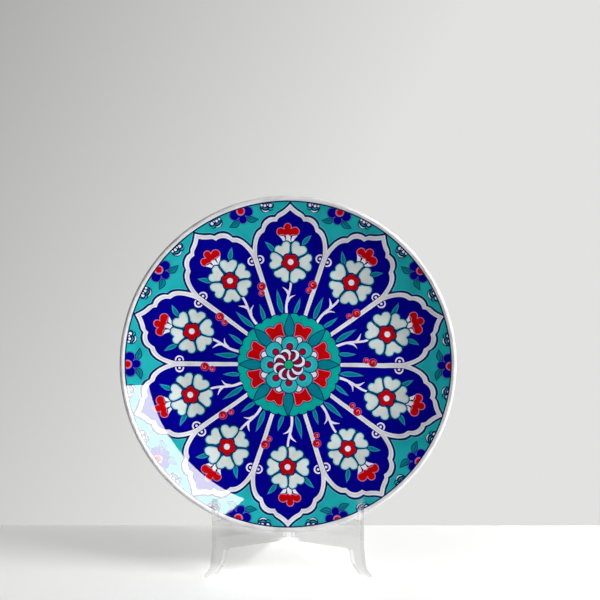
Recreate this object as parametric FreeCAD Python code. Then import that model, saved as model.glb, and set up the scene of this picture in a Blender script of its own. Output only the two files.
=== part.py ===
# Painted and glazed ceramic dish on a folding clear plastic easel.
#
# Frame: millimetres, +Z up, the face of the dish looks toward -Y.
# Origin: middle of the footprint, on the table.
# The dish is turned about its own axis (foot down, face up), then leaned back on the easel.
# Each easel half is a flat sheet drawn in (u, z), where u runs forward from the hinge axis.
import FreeCAD, Part
import os
from math import sin, cos, tan, asin, sqrt, radians, pi

Vector, Rotation, Placement = FreeCAD.Vector, FreeCAD.Rotation, FreeCAD.Placement
X_AXIS, Z_AXIS = Vector(1, 0, 0), Vector(0, 0, 1)

# --- dish ------------------------------------------------------------------------------------
dish_radius = 150.0          # outermost edge of the lip
lip_radius = 2.2             # half the thickness of the rounded lip
floor_top = 13.0             # face above the foot, at the middle
floor_radius = 92.0          # where the nearly flat floor turns up into the wall
floor_sag = 1.0              # how much the floor dishes
wall_bend, wall_slope = 55.0, radians(18)    # the turn into the wall, and the wall's slope after it
crease_radius = 123.0        # where the wall turns a little steeper, for the rim
crease_bend, rim_slope = 60.0, radians(22)
well_height = 7.0            # underside inside the foot ring, above the foot
foot_inner, foot_outer = 63.0, 71.0
foot_round = 1.6             # bevel of the foot's two bottom edges
foot_draft = 2.0             # how far each side of the foot splays toward the dish
face_glaze_depth = 0.6
back_glaze_depth = 0.5
bare_foot = 2.4              # height of unglazed clay at the bottom of the foot

# --- how the dish stands ---------------------------------------------------------------------
lean_angle = 10.0            # degrees back from upright
rim_height = 36.0            # lowest point of the lip above the table
rest_gap = 0.3               # air left between the dish and what it leans on

# --- easel -----------------------------------------------------------------------------------
sheet = 4.0                  # thickness of the plastic
half_angle = 29.0            # degrees between each half and straight ahead
seat_u = 118.0               # hinge axis to the middle of the lip
leg_back, leg_front = 112.0, 132.0
hook_thickness = 5.6
hook_height = 22.0           # straight part above the seat
toe_u, toe_height = 146.0, 3.6
heel_u = 129.0               # back end of the front foot's sole
flare_height = 27.0          # where the leg starts to flare into its foot
belly_height = 19.0          # lower edge of the sheet just behind the front leg
belly_round = 6.0
back_foot_u = 20.0
back_foot_height = 1.5
upright_top = 252.0          # centre of the upright's rounded top
upright_width = 16.0         # across that top
spine_top = 150.0            # the back edge is upright to here
corner_round = 12.0          # between upright and seat
edge_round = 0.5             # polished edges of the sheet

# --- hinge -----------------------------------------------------------------------------------
pin_radius = 1.5
bore_radius = 1.56
knuckle_radius = 3.8
knuckle_clearance = 0.4      # beside and between the knuckles
knuckle_count = 5
hinge_bottom, hinge_top = 6.0, 144.0
pin_head_radius, pin_head_height = 2.9, 1.6
pin_tail = 2.0               # pin below the lowest knuckle

lean, spread = radians(lean_angle), radians(half_angle)


def polar(centre, radius, angle):
    """Point on a circle in the section, angle from straight down toward the outside."""
    return centre + Vector(radius * sin(angle), 0, -radius * cos(angle))


def turn_up(start, radius, slope, new_slope):
    """Three places on an upward bend of the face, each a point and its slope."""
    centre = polar(start, -radius, slope)
    return [(polar(centre, radius, a), a) for a in (slope, (slope + new_slope) / 2, new_slope)]


def straight_up(start, slope, reach):
    """The two ends of a straight run of the face that goes out to that radius."""
    return [(start, slope), (Vector(reach, 0, start.z + (reach - start.x) * tan(slope)), slope)]


# Section of the face, from the axis outward: floor, bend, wall, crease, rim; then the round lip.
floor_bend = (floor_radius**2 + floor_sag**2) / (2 * floor_sag)
floor_slope = asin(floor_radius / floor_bend)
lip_circle = dish_radius - lip_radius
face_runs = [turn_up(Vector(0, 0, floor_top), floor_bend, 0, floor_slope)]
face_runs.append(turn_up(face_runs[-1][-1][0], wall_bend, floor_slope, wall_slope))
face_runs.append(straight_up(face_runs[-1][-1][0], wall_slope, crease_radius))
face_runs.append(turn_up(face_runs[-1][-1][0], crease_bend, wall_slope, rim_slope))
face_runs.append(straight_up(face_runs[-1][-1][0], rim_slope, lip_circle - lip_radius * sin(rim_slope)))
lip_centre = polar(face_runs[-1][-1][0], lip_radius, rim_slope)

# Where the dish stands over the easel.
dish_z = rim_height + lip_radius + lip_circle * cos(lean) - lip_centre.z * sin(lean)
seat_x = seat_u * sin(spread)
seat_reach = sqrt(lip_circle**2 - seat_x**2)
seat_z = dish_z - seat_reach * cos(lean) + lip_centre.z * sin(lean) - lip_radius - rest_gap
hinge_to_dish = seat_u * cos(spread) - seat_reach * sin(lean) - lip_centre.z * cos(lean)
hinge_y = (toe_u * cos(spread) - knuckle_radius) / 2
dish_y = hinge_y - hinge_to_dish


def arc(centre, radius, start, end):
    """Arc edge in the section, angles as in polar()."""
    return Part.Arc(polar(centre, radius, start), polar(centre, radius, (start + end) / 2),
                    polar(centre, radius, end)).toShape()


def chain(*points):
    """Straight edges from point to point, given as (r, z)."""
    corners = [Vector(r, 0, z) for r, z in points]
    return [Part.makeLine(a, b) for a, b in zip(corners, corners[1:])]


def skin(runs, inset):
    """Edges that follow the face's runs at that depth below it."""
    shifted = [[polar(point, inset, slope) for point, slope in run] for run in runs]
    return [(Part.Arc(*run).toShape() if len(run) == 3 else Part.makeLine(*run)) for run in shifted]


def turned(edges):
    """Solid of revolution about the dish axis from a closed section."""
    section = Part.Face(Part.Wire(Part.sortEdges(edges)[0]))
    return section.revolve(Vector(0, 0, 0), Z_AXIS, 360)


def dish_solid(face_inset, back_inset):
    """The dish with its face and back pared away by the insets."""
    face_lip, back_lip = lip_radius - face_inset, lip_radius - back_inset
    outer, inner, ceiling = foot_outer - back_inset, foot_inner + back_inset, well_height + back_inset
    depth = 2 * lip_radius - back_inset
    foot_slope = asin((outer + foot_draft) / (floor_bend + depth))
    under_floor = turn_up(polar(Vector(0, 0, floor_top + floor_bend), floor_bend, foot_slope), floor_bend,
                          foot_slope, floor_slope)
    shoulder = polar(under_floor[0][0], depth, foot_slope)
    brow = polar(lip_centre, face_lip, pi / 2)
    edges = skin(face_runs, face_inset) + skin([under_floor] + face_runs[1:], depth)
    edges += [arc(lip_centre, face_lip, rim_slope + pi, pi / 2), arc(lip_centre, back_lip, pi / 2, rim_slope)]
    if back_inset != face_inset:
        edges += chain((brow.x, brow.z), (lip_centre.x + back_lip, brow.z))
    edges += chain((shoulder.x, shoulder.z), (outer, foot_round), (outer - foot_round, 0),
                   (inner + foot_round, 0), (inner, foot_round), (inner - foot_draft, ceiling),
                   (0, ceiling), (0, floor_top - face_inset))
    return turned(edges)


def ring(inner, outer, bottom, top):
    """Plain washer about the dish axis, used to cut with."""
    blank = Part.makeCylinder(outer, top - bottom, Vector(0, 0, bottom))
    return blank.cut(Part.makeCylinder(inner, top - bottom, Vector(0, 0, bottom))) if inner else blank


def dish_pieces():
    """Clay and its glazed areas, about the dish axis; the two glazes part on the lip's edge."""
    whole = dish_solid(0, 0)
    tread = ring(foot_inner - foot_draft, foot_outer + foot_draft, 0, bare_foot)
    clay = dish_solid(face_glaze_depth, back_glaze_depth).fuse(whole.common(tread))
    face = whole.cut(dish_solid(face_glaze_depth, 0))
    back = whole.cut(dish_solid(0, back_glaze_depth)).cut(tread)
    well, outside = sorted(back.Solids, key=lambda piece: piece.BoundBox.ZMax)
    return {"clay_body": clay, "face_glaze": face, "back_glaze": outside, "well_glaze": well}


def on_easel(shape):
    """Carries a turned dish piece to where it leans."""
    shape.Placement = Placement(Vector(0, dish_y, dish_z), Rotation(X_AXIS, 90 - lean_angle))
    return shape


def rounded(corners):
    """Closed wire through (u, z, radius) corners, each corner turned into a tangent arc."""
    points = [Vector(0, -u, z) for u, z, radius in corners]
    arcs = []
    for i, (u, z, radius) in enumerate(corners):
        here = points[i]
        before, after = (points[i - 1] - here), (points[(i + 1) % len(points)] - here)
        half_turn = before.getAngle(after) / 2
        before.normalize(), after.normalize()
        setback = radius / tan(half_turn)
        middle = (before + after).normalize() * (radius / sin(half_turn) - radius)
        arcs.append((here + before * setback, here + middle, here + after * setback))
    edges = []
    for i, (start, middle, end) in enumerate(arcs):
        edges.append(Part.Arc(start, middle, end).toShape())
        following = arcs[(i + 1) % len(arcs)][0]
        if end.distanceToPoint(following) > 1e-6:
            edges.append(Part.makeLine(end, following))
    return Part.Wire(Part.sortEdges(edges)[0])


def rest_u(z):
    """Where the dish's foot plane crosses an easel half at height z, less the air gap."""
    return (hinge_to_dish - tan(lean) * (z - dish_z) - rest_gap) / cos(spread)


def easel_outline():
    spine_u = knuckle_radius + knuckle_clearance
    hook_back, hook_tip = leg_front - hook_thickness, seat_z + hook_height
    return rounded([
        (spine_u, 0, 1.0), (back_foot_u, 0, 30.0), (leg_back, belly_height, belly_round),
        (leg_back + 4, 6.0, 9.0), (heel_u, 0, 6.0), (toe_u, 0, 1.2), (toe_u, toe_height, 1.6),
        (leg_front + 4, 6.5, 9.0), (leg_front, flare_height, 16.0),
        (leg_front, hook_tip, hook_thickness / 2), (hook_back, hook_tip, hook_thickness / 2),
        (hook_back, seat_z, 2.0), (rest_u(seat_z), seat_z, corner_round),
        (rest_u(upright_top), upright_top, upright_width / 2 - 1.0),
        (rest_u(upright_top) - upright_width, upright_top, upright_width / 2 - 1.0),
        (spine_u, spine_top, 60.0),
    ])


def easel_half(side, first_knuckle, bore):
    """One half of the easel; side is +1 for the right half and -1 for the left."""
    flat = Part.Face(easel_outline()).extrude(Vector(side * sheet, 0, 0))
    flat = flat.makeFillet(edge_round, [e for e in flat.Edges if abs(e.BoundBox.XLength) < 1e-6])
    pitch = (hinge_top - hinge_bottom) / knuckle_count
    reach = knuckle_radius + knuckle_clearance + 2 * edge_round
    low_x = min(0.0, side * sheet)
    for i in range(first_knuckle, knuckle_count, 2):
        bottom = hinge_bottom + i * pitch + knuckle_clearance / 2
        length = pitch - knuckle_clearance
        barrel = Part.makeCylinder(knuckle_radius, length, Vector(0, 0, bottom))
        web = Part.makeBox(sheet, reach, length, Vector(low_x, -reach, bottom))
        flat = flat.fuse(barrel).fuse(web)
    flat = flat.cut(Part.makeCylinder(bore, hinge_top, Vector(0, 0, 0))).removeSplitter()
    flat.Placement = Placement(Vector(0, hinge_y, 0), Rotation(Z_AXIS, side * half_angle))
    return flat


def hinge_pin():
    bottom, top = hinge_bottom - pin_tail, hinge_top + knuckle_clearance / 2
    shaft = Part.makeCylinder(pin_radius, top - bottom, Vector(0, hinge_y, bottom))
    head = Part.makeCylinder(pin_head_radius, pin_head_height, Vector(0, hinge_y, top))
    return shaft.fuse(head).removeSplitter()


nodes = {name: on_easel(shape) for name, shape in dish_pieces().items()}
nodes["left_half"] = easel_half(-1, 0, pin_radius)
nodes["right_half"] = easel_half(1, 1, bore_radius)
nodes["hinge_pin"] = hinge_pin()

os.makedirs("parts", exist_ok=True)
for name, shape in nodes.items():
    shape.exportStep("parts/" + name + ".step")
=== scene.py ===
# The look of a painted ceramic dish on a clear plastic easel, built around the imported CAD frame.
# The face of the dish is one sheet of glaze, cut along every painted outline, so that each colour
# is its own set of faces; the easel and the back keep their CAD shapes and get finishes.
import random
from math import *

import bpy
import numpy as np
from mathutils import Matrix, Vector, noise
from mathutils.geometry import delaunay_2d_cdt


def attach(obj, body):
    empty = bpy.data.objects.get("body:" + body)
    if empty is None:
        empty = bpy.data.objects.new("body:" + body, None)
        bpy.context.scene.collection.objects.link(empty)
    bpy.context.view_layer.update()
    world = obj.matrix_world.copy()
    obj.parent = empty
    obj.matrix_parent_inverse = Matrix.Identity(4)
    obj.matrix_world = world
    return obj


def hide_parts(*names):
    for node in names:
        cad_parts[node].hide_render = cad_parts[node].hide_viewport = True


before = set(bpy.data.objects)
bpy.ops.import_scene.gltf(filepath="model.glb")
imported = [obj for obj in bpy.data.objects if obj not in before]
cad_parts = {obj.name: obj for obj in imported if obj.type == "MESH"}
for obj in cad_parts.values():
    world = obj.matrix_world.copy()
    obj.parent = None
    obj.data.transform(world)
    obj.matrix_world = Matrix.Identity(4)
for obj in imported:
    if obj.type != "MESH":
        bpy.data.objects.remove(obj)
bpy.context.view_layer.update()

# --- the dish in section, in mm about its own axis, foot down and face up ---------------------
LEAN = radians(10)
DISH_RADIUS, LIP_RADIUS, GLAZE_DEPTH = 150.0, 2.2, 0.6
FLOOR_TOP, FLOOR_RADIUS, FLOOR_SAG = 13.0, 92.0, 1.0
WALL_SLOPE, CREASE_RADIUS, RIM_SLOPE = radians(18), 123.0, radians(22)
WALL_BEND, RIM_BEND = 55.0, 60.0                  # radii where the floor turns up and at the crease
RIM_HEIGHT = 36.0                                 # of the lip's lowest point above the table
DISH_Y = 11.072                                   # where the middle of the dish's foot stands
floor_bend = (FLOOR_RADIUS ** 2 + FLOOR_SAG ** 2) / (2 * FLOOR_SAG)
lip_x = DISH_RADIUS - LIP_RADIUS
face_runs = []                   # each run's start, its height and slope there, and its bend
wall_end, wall_top, slope = 0.0, FLOOR_TOP, 0.0
for bend, end in ((floor_bend, asin(FLOOR_RADIUS / floor_bend)),
                  (WALL_BEND, WALL_SLOPE), (None, CREASE_RADIUS),
                  (RIM_BEND, RIM_SLOPE), (None, lip_x - LIP_RADIUS * sin(RIM_SLOPE))):
    face_runs.append((wall_end, wall_top, slope, bend))
    if bend:
        wall_end += bend * (sin(end) - sin(slope))
        wall_top += bend * (cos(slope) - cos(end))
        slope = end
    else:
        wall_end, wall_top = end, wall_top + (end - wall_end) * tan(slope)
lip_z = wall_top - LIP_RADIUS * cos(RIM_SLOPE)
field_edge = wall_end + LIP_RADIUS * (RIM_SLOPE + pi / 2)      # the face's end on the edge of the lip
dish_z = RIM_HEIGHT + LIP_RADIUS + lip_x * cos(LEAN) - lip_z * sin(LEAN)

# --- the painting, flat, in mm: the dish's top is +Y ---------------------------------------------
PANELS = 10
PETALS = 8                       # of the medallion
MEDALLION_RADIUS, SCALLOPS = 44.0, 32
BORDER_OUT, BORDER_IN = 145.5, 144.3
EDGE_STEP = 1.3                  # between points along the edge of the lip
CLOUD_ANGLE = 8.4                # to either side of a panel's axis
HAND_SEED = 11                   # the painter's small unevenness, the same on every run
HAND = random.Random(HAND_SEED)
noise.seed_set(HAND_SEED)


def walk(points, closed=False, step=1.1, count=None):
    """Evenly spaced points along a smooth line through the given ones."""
    pts = [tuple(p) for p in points]
    if closed:
        pts = [pts[-1]] + pts + pts[:2]
    else:
        pts = [(2 * pts[0][0] - pts[1][0], 2 * pts[0][1] - pts[1][1])] + pts + \
              [(2 * pts[-1][0] - pts[-2][0], 2 * pts[-1][1] - pts[-2][1])]
    fine = []
    for a, b, c, d in zip(pts, pts[1:], pts[2:], pts[3:]):
        for k in range(12):
            t = k / 12
            fine.append(tuple(
                0.5 * (2 * b[i] + (c[i] - a[i]) * t + (2 * a[i] - 5 * b[i] + 4 * c[i] - d[i]) * t * t
                       + (3 * b[i] - a[i] - 3 * c[i] + d[i]) * t ** 3) for i in (0, 1)))
    fine.append(pts[-2])
    lengths = [0.0]
    for p, q in zip(fine, fine[1:]):
        lengths.append(lengths[-1] + hypot(q[0] - p[0], q[1] - p[1]))
    count = count or max(3, round(lengths[-1] / step))
    result, j = [], 0
    for k in range(count + (0 if closed else 1)):
        want = lengths[-1] * k / count
        while j < len(lengths) - 2 and lengths[j + 1] < want:
            j += 1
        span = lengths[j + 1] - lengths[j]
        t = (want - lengths[j]) / span if span else 0.0
        result.append((fine[j][0] + (fine[j + 1][0] - fine[j][0]) * t,
                       fine[j][1] + (fine[j + 1][1] - fine[j][1]) * t))
    return result


def circle(x, y, radius, step=0.9, squash=1.0):
    count = max(10, round(2 * pi * radius / step))
    return [(x + radius * cos(2 * pi * k / count), y + radius * squash * sin(2 * pi * k / count))
            for k in range(count)]


def place(points, x=0.0, y=0.0, angle=0.0, scale=1.0):
    """Turned counter-clockwise by angle degrees, then moved."""
    c, s = cos(radians(angle)) * scale, sin(radians(angle)) * scale
    return [(x + c * px - s * py, y + s * px + c * py) for px, py in points]


def mirror(points):
    return [(-x, y) for x, y in points][::-1]


def swell(points, amount):
    """A closed outline pushed outward along its own normals."""
    area = sum(a[0] * b[1] - b[0] * a[1] for a, b in zip(points, points[1:] + points[:1]))
    side = amount if area > 0 else -amount
    result = []
    for before, here, after in zip(points[-1:] + points[:-1], points, points[1:] + points[:1]):
        dx, dy = after[0] - before[0], after[1] - before[1]
        size = hypot(dx, dy) or 1.0
        result.append((here[0] + side * dy / size, here[1] - side * dx / size))
    return result


def stroke(points, start, middle, end, step=1.0):
    """A brush stroke along a smooth line, with its width at the start, the middle and the end."""
    line = walk(points, step=step)
    last = len(line) - 1
    left, right = [], []
    for k, here in enumerate(line):
        before, after = line[max(k - 1, 0)], line[min(k + 1, last)]
        dx, dy = after[0] - before[0], after[1] - before[1]
        size = hypot(dx, dy) or 1.0
        t = k / last
        if t < 0.5:
            width = start + (middle - start) * 2 * t
        else:
            width = middle + (end - middle) * (2 * t - 1)
        nx, ny = -dy / size * width / 2, dx / size * width / 2
        left.append((here[0] + nx, here[1] + ny))
        right.append((here[0] - nx, here[1] - ny))
    return left + right[::-1]


def leaf(base, tip, width, bend=0.0, fullest=0.42):
    """A pointed leaf from base to tip, fullest at that share of its length."""
    dx, dy = tip[0] - base[0], tip[1] - base[1]
    length = hypot(dx, dy)
    half = width / 2

    def side(sign):
        mid = [(0.0, 0.0), (0.18, 0.72 * sign), (fullest, 1.0 * sign), (0.72, 0.62 * sign), (1.0, 0.0)]
        return walk([(u * length, v * half + bend * 4 * u * (1 - u)) for u, v in mid], step=0.8)
    outline = side(-1) + side(1)[::-1][1:-1]
    return place(outline, base[0], base[1], degrees(atan2(dy, dx)))


def jitter(x, y, spread=0.35, turn=2.0, size=0.03):
    """Where the hand really put a motif that belongs at (x, y)."""
    return dict(x=x + HAND.uniform(-spread, spread), y=y + HAND.uniform(-spread, spread),
                angle=HAND.uniform(-turn, turn), scale=1 + HAND.uniform(-size, size))


class Painting:
    """Closed outlines in painting order; a later one covers an earlier one."""
    def __init__(self):
        self.outlines, self.paints = [], []

    def add(self, paint, points):
        self.outlines.append(points)
        self.paints.append(paint)


class Turned:
    """A painting seen through a turn, so that a motif can be drawn in its own panel's frame."""
    def __init__(self, painting, turn):
        self.painting, self.turn = painting, turn

    def add(self, paint, points):
        self.painting.add(paint, self.turn(points))


def placed(p, at):
    """A painting seen from the place where the hand puts a motif."""
    return Turned(p, lambda points: place(points, **at))


# One half of a panel's arch, right of its axis: pairs of inner and outer edge, lobe by lobe.
ARCH = [
    ([(0, 137.3), (2.6, 134.9), (6.4, 132.3), (9.8, 130.4), (11.6, 127.3)],
     [(0, 143.4), (3.0, 140.3), (6.6, 137.3), (10.9, 134.6), (13.1, 131.8)]),
    ([(11.6, 127.3), (14.6, 127.3), (18.0, 125.8), (20.7, 122.8), (22.3, 118.2)],
     [(13.1, 131.8), (17.4, 131.4), (21.6, 129.0), (24.2, 125.6), (25.2, 121.8)]),
    ([(22.3, 118.2), (25.2, 115.9), (27.4, 112.4), (28.6, 107.6), (28.9, 102.4), (28.6, 97.4)],
     [(25.2, 121.8), (28.9, 118.8), (31.4, 114.0), (32.7, 108.4), (33.3, 102.4), (33.5, 95.8)]),
    ([(28.6, 97.4), (11.2, 41.6)], [(33.5, 95.8), (15.4, 40.2)]),
]


def arch(depth):
    """Outline of a whole panel; depth is 0 at the blue field's edge and 1 at the white band's."""
    half = []
    for inner, outer in ARCH:
        count = max(6, round(hypot(outer[-1][0] - outer[0][0], outer[-1][1] - outer[0][1]) / 1.1))
        pairs = zip(walk(inner, count=count), walk(outer, count=count))
        piece = [(a[0] + (b[0] - a[0]) * depth, a[1] + (b[1] - a[1]) * depth) for a, b in pairs]
        half += piece if not half else piece[1:]
    return half + mirror(half)[:-1]


HEART = [(7.6, 0), (8.9, -3.6), (11.9, -6.0), (15.0, -7.6), (17.9, -7.2), (19.2, -4.8), (19.0, -2.2),
         (17.3, 0.2), (19.2, 2.4), (19.3, 4.9), (17.9, 7.1), (14.9, 7.5), (11.8, 5.9), (8.9, 3.6)]
TULIP = [(-6.0, 25.6), (-6.7, 30.6), (-7.9, 36.0), (-6.6, 37.3), (-4.4, 37.7), (-2.0, 36.9), (0, 35.4),
         (2.0, 36.9), (4.4, 37.7), (6.6, 37.3), (7.9, 36.0), (6.7, 30.6), (6.0, 25.6), (4.9, 25.0),
         (3.6, 26.3), (0, 27.6), (-3.6, 26.3), (-4.9, 25.0)]
LOBE = [(0, 25.4), (-3.8, 24.5), (-6.5, 21.6), (-6.9, 18.2), (-5.6, 14.4), (-4.0, 10.5), (4.0, 10.5),
        (5.6, 14.4), (6.9, 18.2), (6.5, 21.6), (3.8, 24.5)]
COMMA = [(1.1, 4.2), (2.8, 7.2), (3.1, 10.4), (1.6, 13.1), (-1.4, 14.2), (-4.3, 13.5), (-6.0, 11.2),
         (-3.5, 12.1), (-1.3, 11.9), (0.4, 10.0), (0.9, 7.2), (0.3, 4.4)]
SEED = [(-1.4, 10.9), (-3.3, 10.5), (-4.2, 8.5), (-3.1, 6.1), (-1.3, 4.6), (-0.4, 6.7), (-0.3, 9.2)]


def flower(p, at):
    """Six heart-shaped petals around a red five-lobed middle; one lobe points at the dish's middle."""
    put = placed(p, at).add
    hearts = [place(walk(HEART, closed=True, step=0.9), angle=60 * k + HAND.uniform(-2, 2),
                    scale=0.97 + HAND.uniform(-0.03, 0.03)) for k in range(6)]
    for heart in hearts:
        put("vein", swell(heart, 1.15))
    for heart in hearts:
        put("petal_edge", swell(heart, 0.1))
        put("petal", swell(heart, -0.95))
    for k in range(6):
        side = (-1) ** k
        line = [(6.5, 0.0), (11.0, 0.7 * side), (15.0, 0.7 * side), (18.6, -0.5 * side)]
        put("vein", place(stroke(line, 1.2, 1.0, 1.2), angle=90 - 60 * k))
    for paint, reach in (("outline", 6.9), ("red", 5.6)):
        middle = [reach + 1.9 * abs(cos(pi * k / 12)) for k in range(60)]
        put(paint, [(r * sin(pi * k / 30), -r * cos(pi * k / 30)) for k, r in enumerate(middle)])
    notch = stroke([(6.3, 0.0), (5.0, 0.1), (3.6, 0.0)], 1.3, 0.8, 0.3, step=0.6)
    for k in range(5):
        put("wine", place(notch, angle=54 + 72 * k))
    put("rose", circle(0.2, 0.1, 3.2, 0.7))
    put("white", circle(0.2, 0.1, 2.6, 0.7))


def carnation(p, at):
    """A small red bloom above a white cup."""
    put = placed(p, at).add
    cup = walk([(-10.2, 4.0), (-5.2, 3.4), (0, 4.6), (5.0, 3.4), (9.6, 3.8)], step=1.2)
    cup += walk([(9.6, 3.8), (6.4, 0.2), (4.6, -3.4)], step=1.2)[1:]
    cup += walk([(4.6, -3.4), (0, -2.5), (-4.8, -3.4)], step=1.2)[1:]
    cup += walk([(-4.8, -3.4), (-6.9, 0.2), (-10.2, 4.0)], step=1.2)[1:-1]
    put("vein", swell(cup, 0.35))
    put("band", cup)
    for x, lean in ((-3.6, 0.8), (2.9, -0.6)):
        line = [(x + lean * 0.7, -1.8), (x + lean * 0.6, 0.8), (x - lean * 0.5, 4.4)]
        put("outline", stroke(line, 0.5, 1.2, 2.6, step=0.7))
    bloom = walk([(-10.6, 4.3), (-12.3, 7.2), (-11.2, 11.0), (-8.0, 12.3), (-5.2, 11.4), (-4.7, 14.2),
                  (-2.6, 16.4), (0.2, 16.6), (2.4, 14.9), (3.2, 11.9), (6.2, 12.7), (9.4, 11.8),
                  (11.3, 8.6), (10.4, 5.2), (7.6, 4.1), (3.6, 4.6), (1.8, 3.5), (-0.6, 4.9),
                  (-4.0, 4.0), (-6.4, 5.0)], closed=True, step=0.9)
    put("pink", swell(bloom, 0.35))
    put("red", swell(bloom, -0.45))
    put("pink", circle(-4.6, 10.9, 0.6, 0.5))
    put("pink", circle(2.6, 11.3, 0.6, 0.5))


def panel_motifs(p, turn):
    """Everything inside one panel; turn carries outlines from the upright panel to this one."""
    panel = Turned(p, turn)
    whole = jitter(0, 0, turn=0.5, size=0.0)
    for base, tip, width, bend in (((-6.0, 45.0), (-11.4, 66.8), 4.7, 0.5),
                                   ((4.2, 44.0), (9.8, 59.8), 3.9, -0.4),
                                   ((-13.6, 100.0), (-22.6, 109.8), 4.3, -0.5),
                                   ((10.6, 106.2), (19.2, 115.6), 4.4, 0.5)):
        shape = turn(place(leaf(base, tip, width, bend), **whole))
        p.add("leaf_edge", shape)
        p.add("leaf", swell(shape, -0.75))
    stem = [(-2.4, 43.0), (-2.8, 51.4), (-1.8, 58.7), (-0.2, 64.7), (0.8, 70.0), (0.9, 74.4)]
    left_twig = [(-0.9, 63.0), (-2.6, 65.9), (-6.4, 69.2)]
    right_twig = [(-2.0, 56.2), (0.6, 59.9), (5.0, 62.0)]
    twig_widths = (2.6, 1.7, 0.3)
    for line, widths in ((stem, (2.4, 2.1, 1.9)), (left_twig, twig_widths), (right_twig, twig_widths)):
        placed(panel, whole).add("white", stroke(line, *widths))
    at = jitter(-1.1, 111.9, 0.3, 2.0)
    at["scale"] *= 0.86
    carnation(panel, at)
    flower(panel, jitter(0.8, 91.8, 0.3, 2.5))


def band_motifs(p):
    """Rings and red spirals on the white band to the right of a panel; the band lies along +Y here."""
    for side in (-1, 1):
        x, y = side * 3.5, 98.3 + HAND.uniform(-1, 1)
        arc = [(x + side * 3.4 * cos(radians(a)), y + 3.4 * sin(radians(a))) for a in range(-100, 101, 10)]
        p.add("white", stroke(arc, 1.1, 1.5, 1.1, step=0.9))
        p.add("white", circle(x + side * 0.2, y, 1.1, 0.6))
    for x, y, radius in ((-2.4, 74.6 + HAND.uniform(-1, 1), 3.6), (-4.2, 67.9 + HAND.uniform(-1, 1), 2.5)):
        p.add("violet", circle(x, y, radius + 0.4))
        p.add("red", circle(x, y, radius))
        curl = []
        for k in range(10):
            reach, angle = radius * (0.72 - 0.07 * k), 0.62 * k + 0.6
            curl.append((x + reach * cos(angle), y + reach * sin(angle)))
        p.add("pink", stroke(curl, 0.2, 0.75, 0.6, step=0.6))


def border_motifs(p):
    """The cut flower between two panels; the dish's middle is toward -Y here."""
    at = jitter(0.0, 142.9, 0.5, 4.0)
    at["scale"] *= 0.93
    put = placed(p, at).add
    for side in (-1, 1):
        shape = leaf((side * 3.0, -8.0), (side * 15.4, -11.8), 6.4, -side * 0.9, fullest=0.45)
        put("outline", shape)
        put("deep_leaf", swell(shape, -0.75))
        rib = [(side * 4.0, -8.3), (side * 8.0, -9.9), (side * 12.4, -11.2)]
        put("outline", stroke(rib, 0.4, 0.5, 0.3))
    petals = [(8.0, 3.7, -90), (7.3, 4.3, -18), (7.3, 4.3, -162), (7.3, 4.3, 54), (7.3, 4.3, 126)]
    for paint, grow in (("outline", 0.85), ("violet", 0.5), ("cobalt", 0.0)):
        for reach, radius, angle in petals:
            put(paint, place(circle(reach, 0, radius + grow), angle=angle))
        put(paint, circle(0, 0, 6.0))
    put("violet", circle(0, 0, 4.5))
    put("pink", circle(0, 0, 4.0))
    put("red", circle(0.2, 0.1, 3.0))


def cloud(p, flip):
    """A curl of cloud cut by the border line; the dish's middle is toward -Y here."""
    at = jitter(0.0, 144.2, 0.4, 4.0)
    put = Turned(placed(p, at), lambda points: [(x * flip, y) for x, y in points]).add
    put("outline", circle(-0.7, -2.5, 3.5, 0.7, squash=0.8))
    crescent = [(-5.6, -1.6), (-4.6, -4.4), (-2.4, -6.0), (0.2, -6.1), (2.2, -5.0)]
    put("outline", stroke(crescent, 1.2, 2.6, 1.2, step=0.8))
    put("white", stroke(crescent[1:], 0.3, 1.1, 0.3, step=0.8))
    put("turquoise", stroke([(-3.4, -2.7), (-1.4, -3.9), (1.0, -3.3)], 0.4, 0.8, 0.3, step=0.7))
    put("outline", stroke([(1.6, -5.2), (3.8, -5.6), (6.0, -4.4)], 1.2, 0.9, 0.3, step=0.7))
    put("outline", stroke([(2.4, -3.4), (4.6, -3.6), (6.2, -1.8), (5.9, 0.2)], 0.6, 1.1, 0.8, step=0.7))
    for x, y, size in ((-4.1, -0.6, 1.0), (-1.3, -1.1, 1.2), (3.4, -1.3, 1.4), (1.2, -0.5, 0.7)):
        put("outline", circle(x, y, size + 0.8, 0.7))
        put("white", circle(x, y, size, 0.7))


def round_medallion(k, offset=0, spread=0.15, turn=1.2, size=0.01):
    """Where the hand put the motif that belongs k petals round from the top."""
    at = jitter(0, 0, spread, turn, size)
    at["angle"] += offset + 360 / PETALS * k
    return at


def scallops(extra):
    """The medallion's wavy edge, or that far outside it."""
    count = 12 * SCALLOPS
    result = []
    for k in range(count):
        r = MEDALLION_RADIUS + extra + 1.9 * abs(sin(SCALLOPS * pi * k / count)) ** 0.6
        result.append((r * sin(2 * pi * k / count), r * cos(2 * pi * k / count)))
    return result


def tulips(p):
    """The red cups between the medallion's spears, each with a white bulb at its foot."""
    tulip = walk(TULIP, closed=True, step=0.9)
    bulb = walk([(0, 19.5), (-1.5, 21.8), (-2.7, 24.0), (-1.8, 25.8), (0, 26.4), (1.8, 25.8), (2.7, 24.0),
                 (1.5, 21.8)], closed=True, step=0.8)
    for k in range(PETALS):
        put = placed(p, round_medallion(k + 0.5)).add
        for paint, grow in (("outline", 1.0), ("pink", 0.3), ("red", -0.4)):
            put(paint, swell(tulip, grow))
        for paint, grow in (("pink", 1.5), ("outline", 0.95), ("white", 0.0)):
            put(paint, swell(bulb, grow))


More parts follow.
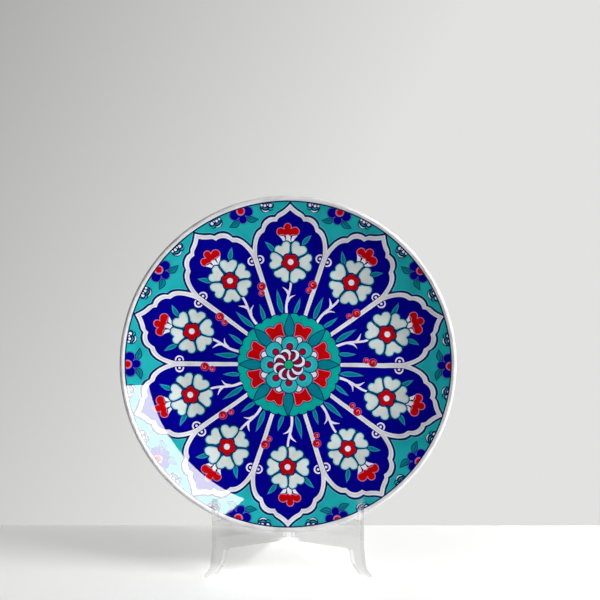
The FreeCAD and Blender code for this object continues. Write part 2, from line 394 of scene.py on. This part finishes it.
def spears(p):
    half = walk([(0.0, 24.6), (3.4, 27.4), (4.5, 32.0), (3.6, 37.4), (1.5, 42.4), (0.0, 45.6)], step=0.9)
    spear = half + mirror(half)[1:-1]
    for k in range(PETALS):
        put = placed(p, round_medallion(k)).add
        put("vein", swell(spear, 0.5))
        put("deep_leaf", swell(spear, -0.45))
        for x in (-1.6, 1.6):
            put("leaf", stroke([(x * 0.9, 28.5), (x * 1.2, 33.0), (x * 0.4, 40.0)], 0.4, 1.0, 0.3))


def lobes(p):
    """The rounded petals round the pinwheel, each with a red spot."""
    lobe = walk(LOBE, closed=True, step=0.9)
    for k in range(PETALS):
        put = placed(p, round_medallion(k)).add
        for paint, grow in (("vein", 0.95), ("cyan", 0.0)):
            put(paint, swell(lobe, grow))
        put("sky", circle(0, 17.0, 4.1))
        put("outline", circle(0, 16.6, 3.3))
        put("wine", circle(0, 16.6, 2.4))
        put("red", circle(0, 16.6, 1.2, 0.6))


def pinwheel(p):
    """White commas turning round a green bud, with a red seed inside each."""
    comma, seed = walk(COMMA, closed=True, step=0.7), walk(SEED, closed=True, step=0.7)
    gleam = stroke([(-2.5, 9.2), (-2.3, 7.8), (-1.8, 6.8)], 0.3, 0.6, 0.3, step=0.6)
    p.add("outline", circle(0, 0, 12.6))
    for k in range(PETALS):
        put = placed(p, round_medallion(k, 8, 0.1, 2.5, 0.03)).add
        put("outline", swell(comma, 0.8))
        put("white", comma)
        put("wine", seed)
        put("red", gleam)
    p.add("outline", circle(0, 0, 4.5))
    p.add("bud", circle(0, 0, 3.8))


def medallion(p):
    p.add("outline", scallops(0.85))
    p.add("green", scallops(0.0))
    tulips(p)
    spears(p)
    lobes(p)
    pinwheel(p)


def border_rings():
    """The edge of the lip, then the outside and inside of the thin dark ring."""
    return circle(0, 0, field_edge, EDGE_STEP), circle(0, 0, BORDER_OUT, 1.2), circle(0, 0, BORDER_IN, 1.2)


def clockwise(angle):
    return lambda points: place(points, angle=-angle)


def paint_dish():
    """The whole painting; its first three outlines are the rings of the border."""
    p = Painting()
    for paint, ring in zip(("glaze", "outline", "turquoise"), border_rings()):
        p.add(paint, ring)
    step = 360 / PANELS
    for k in range(PANELS):
        border_motifs(Turned(p, clockwise(step * (k + 0.5))))
        for flip in (-1, 1):
            cloud(Turned(p, clockwise(step * k + flip * CLOUD_ANGLE)), -flip)
    for depth, paint in ((1.56, "sky"), (1.42, "outline"), (1.0, "band"), (0.74, "shade"), (0.3, "band"),
                         (0.14, "outline"), (0.0, "cobalt")):
        for k in range(PANELS):
            p.add(paint, clockwise(step * k)(arch(depth)))
    for k in range(PANELS):
        panel_motifs(p, clockwise(step * k))
        band_motifs(Turned(p, clockwise(step * (k + 0.5))))
    medallion(p)
    return p


# --- the sheet of painted glaze ----------------------------------------------------------------
PLAIN_RINGS = 3                  # of the painting's outlines, the ones turned on the wheel
FACE_PITCH, UNDERSIDE_PITCH = 3.2, 12.0
BEND_RINGS = [96.0, 100.0, 104.0, 125.0]          # more points where the face bends
LIP_RINGS = 8                    # between the border and the edge of the lip
STRETCH_X, STRETCH_Y, TWIST, SHIFT_X, SHIFT_Y = 1.006, 1.003, 0.007, 0.8, -1.1
DRIFT_PITCH, DRIFT, TREMBLE_PITCH, TREMBLE = 34, 0.45, 6, 0.12
ROW = 0.866                      # a honeycomb's rows, as a share of its pitch

def section(rho):
    """Radius, height and outward normal at a distance along the face from the dish's axis."""
    if rho <= wall_end:
        r, z, slope, bend = [run for run in face_runs if run[0] <= rho][-1]
        a = asin(sin(slope) + (rho - r) / bend) if bend else slope
        z += bend * (cos(slope) - cos(a)) if bend else (rho - r) * tan(slope)
        return rho, z, -sin(a), cos(a)
    a = RIM_SLOPE + pi - (rho - wall_end) / LIP_RADIUS
    return lip_x + LIP_RADIUS * sin(a), lip_z - LIP_RADIUS * cos(a), sin(a), -cos(a)


def to_world(x, y, z):
    """From the dish's own frame in mm to where it leans, in metres."""
    return Vector((x, y * sin(LEAN) - z * cos(LEAN) + DISH_Y,
                   y * cos(LEAN) + z * sin(LEAN) + dish_z)) / 1000


def on_face(x, y, depth=0.0):
    """Point and normal on the face above a point of the flat painting, or that far below it."""
    rho = hypot(x, y)
    r, z, nr, nz = section(min(rho, field_edge))
    cx, cy = (x / rho, y / rho) if rho else (1.0, 0.0)
    point = to_world((r - nr * depth) * cx, (r - nr * depth) * cy, z - nz * depth)
    return point, to_world(nr * cx, nr * cy, nz) - to_world(0, 0, 0)


def hand_drift(x, y):
    """Where the hand put a point meant for (x, y).

    The whole pattern sits a little low and to the right and is turned slightly; on top of that
    come a slow drift over the dish and a finer tremble."""
    slow = noise.noise_vector(Vector((x, y, 5.0)) / DRIFT_PITCH) * DRIFT
    fine = noise.noise_vector(Vector((x, y, 9.0)) / TREMBLE_PITCH) * TREMBLE
    return (STRETCH_X * x + TWIST * y + SHIFT_X + slow.x + fine.x,
            STRETCH_Y * y - TWIST * x + SHIFT_Y + slow.y + fine.y)


def honeycomb(radius, pitch):
    """Evenly spread points of a disc."""
    rows = int(radius / (pitch * ROW))
    for j in range(-rows, rows + 1):
        y, shift = j * pitch * ROW, (j % 2) * pitch / 2
        reach = int(radius / pitch) + 1
        for i in range(-reach, reach + 1):
            if hypot(i * pitch + shift, y) < radius:
                yield i * pitch + shift, y


def inside(outline, spots):
    """Which of the spots, rows of (x, y), lie inside a closed outline."""
    within = np.zeros(len(spots), bool)
    x, y = spots[:, 0], spots[:, 1]
    for (ax, ay), (bx, by) in zip(outline, outline[1:] + outline[:1]):
        if ay != by:
            within ^= ((ay > y) != (by > y)) & (x < (bx - ax) * (y - ay) / (by - ay) + ax)
    return within


def cut(loops, loose, spacing=1e-4):
    """Triangles between closed loops and loose points of the plane, with every loop kept as edges."""
    points, edges = [], []
    for loop in loops:
        start = len(points)
        points += [Vector(q) for q in loop]
        edges += [(start + k, start + (k + 1) % len(loop)) for k in range(len(loop))]
    points += [Vector(q) for q in loose]
    flat, _, triangles, *_ = delaunay_2d_cdt(points, edges, [], 0, spacing)
    return flat, triangles


def loose_points():
    """Points between the outlines, so that the sheet follows the dish's bends."""
    loose = list(honeycomb(BORDER_IN - 1, FACE_PITCH))
    for rho in [run[0] for run in face_runs[1:]] + BEND_RINGS:
        loose += circle(0, 0, rho, 2.0)
    for step in range(1, LIP_RINGS + 1):
        loose += circle(0, 0, BORDER_OUT + (field_edge - BORDER_OUT) * step / (LIP_RINGS + 1), EDGE_STEP)
    return loose


def paint_on(spots, loops, painting, paints):
    """Which of the paints each spot has, for spots in order of y."""
    marks = np.full(len(spots), paints.index("glaze"))
    for loop, paint in zip(loops, painting.paints):
        xs, ys = [q[0] for q in loop], [q[1] for q in loop]
        first, last = np.searchsorted(spots[:, 1], (min(ys), max(ys)))
        near = first + np.flatnonzero((spots[first:last, 0] > min(xs)) & (spots[first:last, 0] < max(xs)))
        marks[near[inside(loop, spots[near])]] = paints.index(paint)
    rho = np.hypot(spots[:, 0], spots[:, 1])
    marks[rho > BORDER_IN] = paints.index("outline")
    marks[rho > BORDER_OUT] = paints.index("glaze")
    return marks


def paint_mesh(painting, paints):
    """The glaze: a face cut along the outlines, and a plain underside where it meets the clay.

    The two are open to each other at the edge of the lip, where the glaze of the back begins."""
    loops = [outline if k < PLAIN_RINGS else [hand_drift(*q) for q in outline]
             for k, outline in enumerate(painting.outlines)]
    flat, triangles = cut(loops, loose_points())
    spots = np.array([sum((flat[c] for c in corners), Vector((0, 0))) / 3 for corners in triangles])
    order = np.argsort(spots[:, 1])
    triangles = [tuple(triangles[k]) for k in order]
    marks = paint_on(spots[order], loops, painting, paints)
    verts, normals = map(list, zip(*(on_face(*q) for q in flat)))

    rim = border_rings()[0]
    low_flat, low_triangles = cut([rim], honeycomb(field_edge - 8, UNDERSIDE_PITCH))
    offset = len(verts)
    for q in low_flat:
        point, normal = on_face(q.x, q.y, GLAZE_DEPTH)
        verts.append(point)
        normals.append(-normal)
    triangles += [tuple(offset + c for c in reversed(t)) for t in low_triangles]
    return verts, normals, triangles, marks.tolist() + [paints.index("glaze")] * len(low_triangles)


# --- finishes ----------------------------------------------------------------------------------

def tone(red, green, blue):
    """A colour as the eye grades it, 0 to 255, turned into light."""
    return tuple(((c / 255 + 0.055) / 1.055) ** 2.4 if c > 10 else c / 255 / 12.92
                 for c in (red, green, blue)) + (1.0,)


def shaded(colour, by):
    return tuple(min(1.0, c * by) for c in colour[:3]) + (1.0,)


class Finish:
    """A material whose colour wanders between shades."""
    def __init__(self, name, shades, grain=60.0, detail=5.0, **values):
        self.material = bpy.data.materials.new(name)
        self.material.use_nodes = True
        self.nodes, self.links = self.material.node_tree.nodes, self.material.node_tree.links
        self.shader = self.nodes["Principled BSDF"]
        for socket, value in values.items():
            self.shader.inputs[socket.replace("_", " ")].default_value = value
        self.where = self.nodes.new("ShaderNodeTexCoord").outputs["Object"]
        spread = [0.3 + 0.4 * k / (len(shades) - 1) for k in range(len(shades))]
        self.colour = self.ramp(self.cloudy(grain, detail), list(zip(spread, shades)))
        self.links.new(self.colour, self.shader.inputs["Base Color"])

    def cloudy(self, scale, detail):
        field = self.nodes.new("ShaderNodeTexNoise")
        field.inputs["Scale"].default_value = scale
        field.inputs["Detail"].default_value = detail
        self.links.new(self.where, field.inputs["Vector"])
        return field.outputs["Fac"]

    def ramp(self, value, stops):
        node = self.nodes.new("ShaderNodeValToRGB")
        elements = node.color_ramp.elements
        for k, (position, colour) in ((0, stops[0]), (1, stops[-1])):
            elements[k].position, elements[k].color = position, colour
        for position, colour in stops[1:-1]:
            elements.new(position).color = colour
        self.links.new(value, node.inputs["Fac"])
        return node.outputs["Color"]

    def speckle(self, colour, scale=260.0):
        """Small dots of another colour, scattered over the surface."""
        dots = self.nodes.new("ShaderNodeTexVoronoi")
        dots.inputs["Scale"].default_value = scale
        self.links.new(self.where, dots.inputs["Vector"])
        near = self.ramp(dots.outputs["Distance"], [(0.05, (1, 1, 1, 1)), (0.11, (0, 0, 0, 1))])
        mixed = self.nodes.new("ShaderNodeMix")
        mixed.data_type = "RGBA"
        mixed.inputs["B"].default_value = colour
        self.links.new(near, mixed.inputs["Factor"])
        self.links.new(self.colour, mixed.inputs["A"])
        self.links.new(mixed.outputs["Result"], self.shader.inputs["Base Color"])
        return self

    def ripple(self, height, scale=30.0):
        """A gently uneven surface, that high in metres."""
        bump = self.nodes.new("ShaderNodeBump")
        bump.inputs["Strength"].default_value = 1.0
        bump.inputs["Distance"].default_value = height
        self.links.new(self.cloudy(scale, 2.0), bump.inputs["Height"])
        for socket in ("Normal", "Coat Normal"):
            self.links.new(bump.outputs["Normal"], self.shader.inputs[socket])
        return self


PAINTS = {
    "glaze": tone(231, 230, 232), "outline": tone(12, 32, 86), "turquoise": tone(33, 174, 180),
    "cobalt": tone(6, 2, 138), "band": tone(234, 234, 246), "shade": tone(220, 218, 226),
    "petal": tone(218, 225, 224), "petal_edge": tone(160, 215, 226), "vein": tone(6, 66, 104),
    "red": tone(190, 8, 14), "rose": tone(145, 25, 56), "pink": tone(208, 120, 148),
    "white": tone(235, 231, 246), "leaf": tone(3, 124, 140), "leaf_edge": tone(50, 145, 180),
    "deep_leaf": tone(14, 126, 144), "sky": tone(78, 184, 205), "violet": tone(88, 94, 192),
    "green": tone(12, 170, 160), "cyan": tone(42, 181, 188), "wine": tone(146, 14, 38),
    "bud": tone(20, 174, 115),
}


def painted_glaze(name, colour):
    return Finish(name, (shaded(colour, 0.86), colour, shaded(colour, 1.1)), Roughness=0.6,
                  Specular_IOR_Level=0.0, Coat_Weight=0.7, Coat_Roughness=0.02).ripple(0.00002).material


def white_glaze():
    tones = tone(221, 220, 218), tone(227, 226, 224), tone(231, 230, 228)
    finish = Finish("white_glaze", tones, grain=35.0, Roughness=0.5, Specular_IOR_Level=0.0,
                    Coat_Weight=0.8, Coat_Roughness=0.03)
    return finish.speckle(tone(150, 132, 110)).ripple(0.00004).material


def bare_clay():
    tones = tone(196, 178, 156), tone(214, 198, 176), tone(224, 210, 190)
    return Finish("bare_clay", tones, grain=240.0, detail=8.0, Roughness=0.9).ripple(0.0001, 900.0).material


def clear_sheet():
    return Finish("clear_sheet", (tone(252, 254, 254), tone(255, 255, 255)), grain=12.0, Roughness=0.0,
                  Transmission_Weight=0.86, IOR=1.49, Alpha=0.35).material


def steel():
    return Finish("steel", (tone(150, 150, 152), tone(190, 190, 192)), grain=500.0, Metallic=1.0,
                  Roughness=0.3).material


# --- the pieces --------------------------------------------------------------------------------
paints = list(PAINTS)
verts, normals, triangles, marks = paint_mesh(paint_dish(), paints)
mesh = bpy.data.meshes.new("painted_face")
mesh.from_pydata(verts, [], triangles)
for name, colour in PAINTS.items():
    mesh.materials.append(painted_glaze(name, colour))
mesh.polygons.foreach_set("material_index", marks)
mesh.shade_smooth()
mesh.normals_split_custom_set_from_vertices([tuple(n.normalized()) for n in normals])
face = bpy.data.objects.new("painted_face", mesh)
bpy.context.scene.collection.objects.link(face)
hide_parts("face_glaze")
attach(face, "dish")

for nodes, material in ((("clay_body",), bare_clay()), (("back_glaze", "well_glaze"), white_glaze()),
                        (("left_half", "right_half"), clear_sheet()), (("hinge_pin",), steel())):
    for node in nodes:
        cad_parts[node].data.materials.clear()
        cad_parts[node].data.materials.append(material)

# --- table and light ----------------------------------------------------------------------------
TABLE_SIDE, TABLE_FRONT, TABLE_END = 1.0, -0.75, 0.095
top = bpy.data.meshes.new("table")
top.from_pydata([(-TABLE_SIDE, TABLE_FRONT, 0), (TABLE_SIDE, TABLE_FRONT, 0),
                 (TABLE_SIDE, TABLE_END, 0), (-TABLE_SIDE, TABLE_END, 0)], [], [(0, 1, 2, 3)])
top.materials.append(Finish("table", (tone(238, 238, 237), tone(243, 243, 242)), grain=2.0, Roughness=0.6,
                            Emission_Color=(1, 1, 1, 1), Emission_Strength=0.03).material)
table = bpy.data.objects.new("table", top)
table.visible_glossy = False
bpy.context.scene.collection.objects.link(table)

FACING = Vector((0, -cos(LEAN), sin(LEAN)))       # the way the dish faces
UPWARD = Vector((0, sin(LEAN), cos(LEAN)))        # towards its top
ACROSS = Vector((1, 0, 0))
middle = to_world(0, 0, lip_z + LIP_RADIUS)


def soft_light(name, off_axis, azimuth, distance, width, height, power, mirrored=False, shadow=True):
    """A lamp panel facing the dish, off its axis towards an azimuth counted from its right hand.

    It is either only mirrored in the glaze, or only lights things."""
    off_axis, azimuth = radians(off_axis), radians(azimuth)
    outward = ACROSS * cos(azimuth) + UPWARD * sin(azimuth)
    away = FACING * cos(off_axis) + outward * sin(off_axis)
    along = UPWARD * cos(azimuth) - ACROSS * sin(azimuth)
    panel = bpy.data.lights.new(name, "AREA")
    panel.use_shadow = shadow
    panel.shape, panel.size, panel.size_y, panel.energy = "RECTANGLE", width, height, power
    lamp = bpy.data.objects.new(name, panel)
    lamp.location = middle + away * distance
    lamp.rotation_euler = Matrix((along, away.cross(along), away)).transposed().to_euler()
    lamp.visible_glossy = mirrored
    lamp.visible_diffuse = lamp.visible_transmission = not mirrored
    bpy.context.scene.collection.objects.link(lamp)


# name, angle off the axis, azimuth, distance, width, height, power
soft_light("daylight", 69, 22, 1.6, 1.0, 1.0, 36)
soft_light("overhead", 64, 95, 2.0, 1.6, 1.2, 9)
soft_light("behind", 140, 100, 1.6, 1.2, 1.2, 20, shadow=False)
soft_light("window", 38.85, 38, 1.5, 1.01, 0.5, 39, mirrored=True)

# the backdrop is pale, with painted shade: darker towards the upper left, as if lit from the right
LIGHTER_WAY = (1.0, 0.0, -0.56)
DARK_AT, LIGHT_AT, DARKEST, LIGHTEST = -0.16, 0.1, 0.42, 0.76
world = bpy.data.worlds.new("backdrop")
bpy.context.scene.world = world
world.use_nodes = True
world.cycles_visibility.diffuse = world.cycles_visibility.glossy = False
nodes, links = world.node_tree.nodes, world.node_tree.links
across, shade = nodes.new("ShaderNodeVectorMath"), nodes.new("ShaderNodeMapRange")
across.operation = "DOT_PRODUCT"
across.inputs[1].default_value = LIGHTER_WAY
for socket, value in (("From Min", DARK_AT), ("From Max", LIGHT_AT),
                      ("To Min", DARKEST), ("To Max", LIGHTEST)):
    shade.inputs[socket].default_value = value
links.new(nodes.new("ShaderNodeTexCoord").outputs["Generated"], across.inputs[0])
links.new(across.outputs["Value"], shade.inputs["Value"])
links.new(shade.outputs["Result"], nodes["Background"].inputs["Strength"])
nodes["Background"].inputs["Color"].default_value = (1.0, 1.0, 0.99, 1.0)
bpy.context.scene.view_settings.view_transform = "Standard"

# --- camera: square on to the dish, a little above it -------------------------------------------
CAMERA_ACROSS, CAMERA_UP, CAMERA_DISTANCE = 0.0106, 0.057, 1.6
view = bpy.data.cameras.new("camera")
view.sensor_width, view.lens = 36.0, 108.0
view.clip_start, view.clip_end = 0.05, 20.0
camera = bpy.data.objects.new("camera", view)
camera.location = middle + ACROSS * CAMERA_ACROSS + UPWARD * CAMERA_UP + FACING * CAMERA_DISTANCE
camera.rotation_euler = (pi / 2 - LEAN, 0, 0)
bpy.context.scene.collection.objects.link(camera)
bpy.context.scene.camera = camera
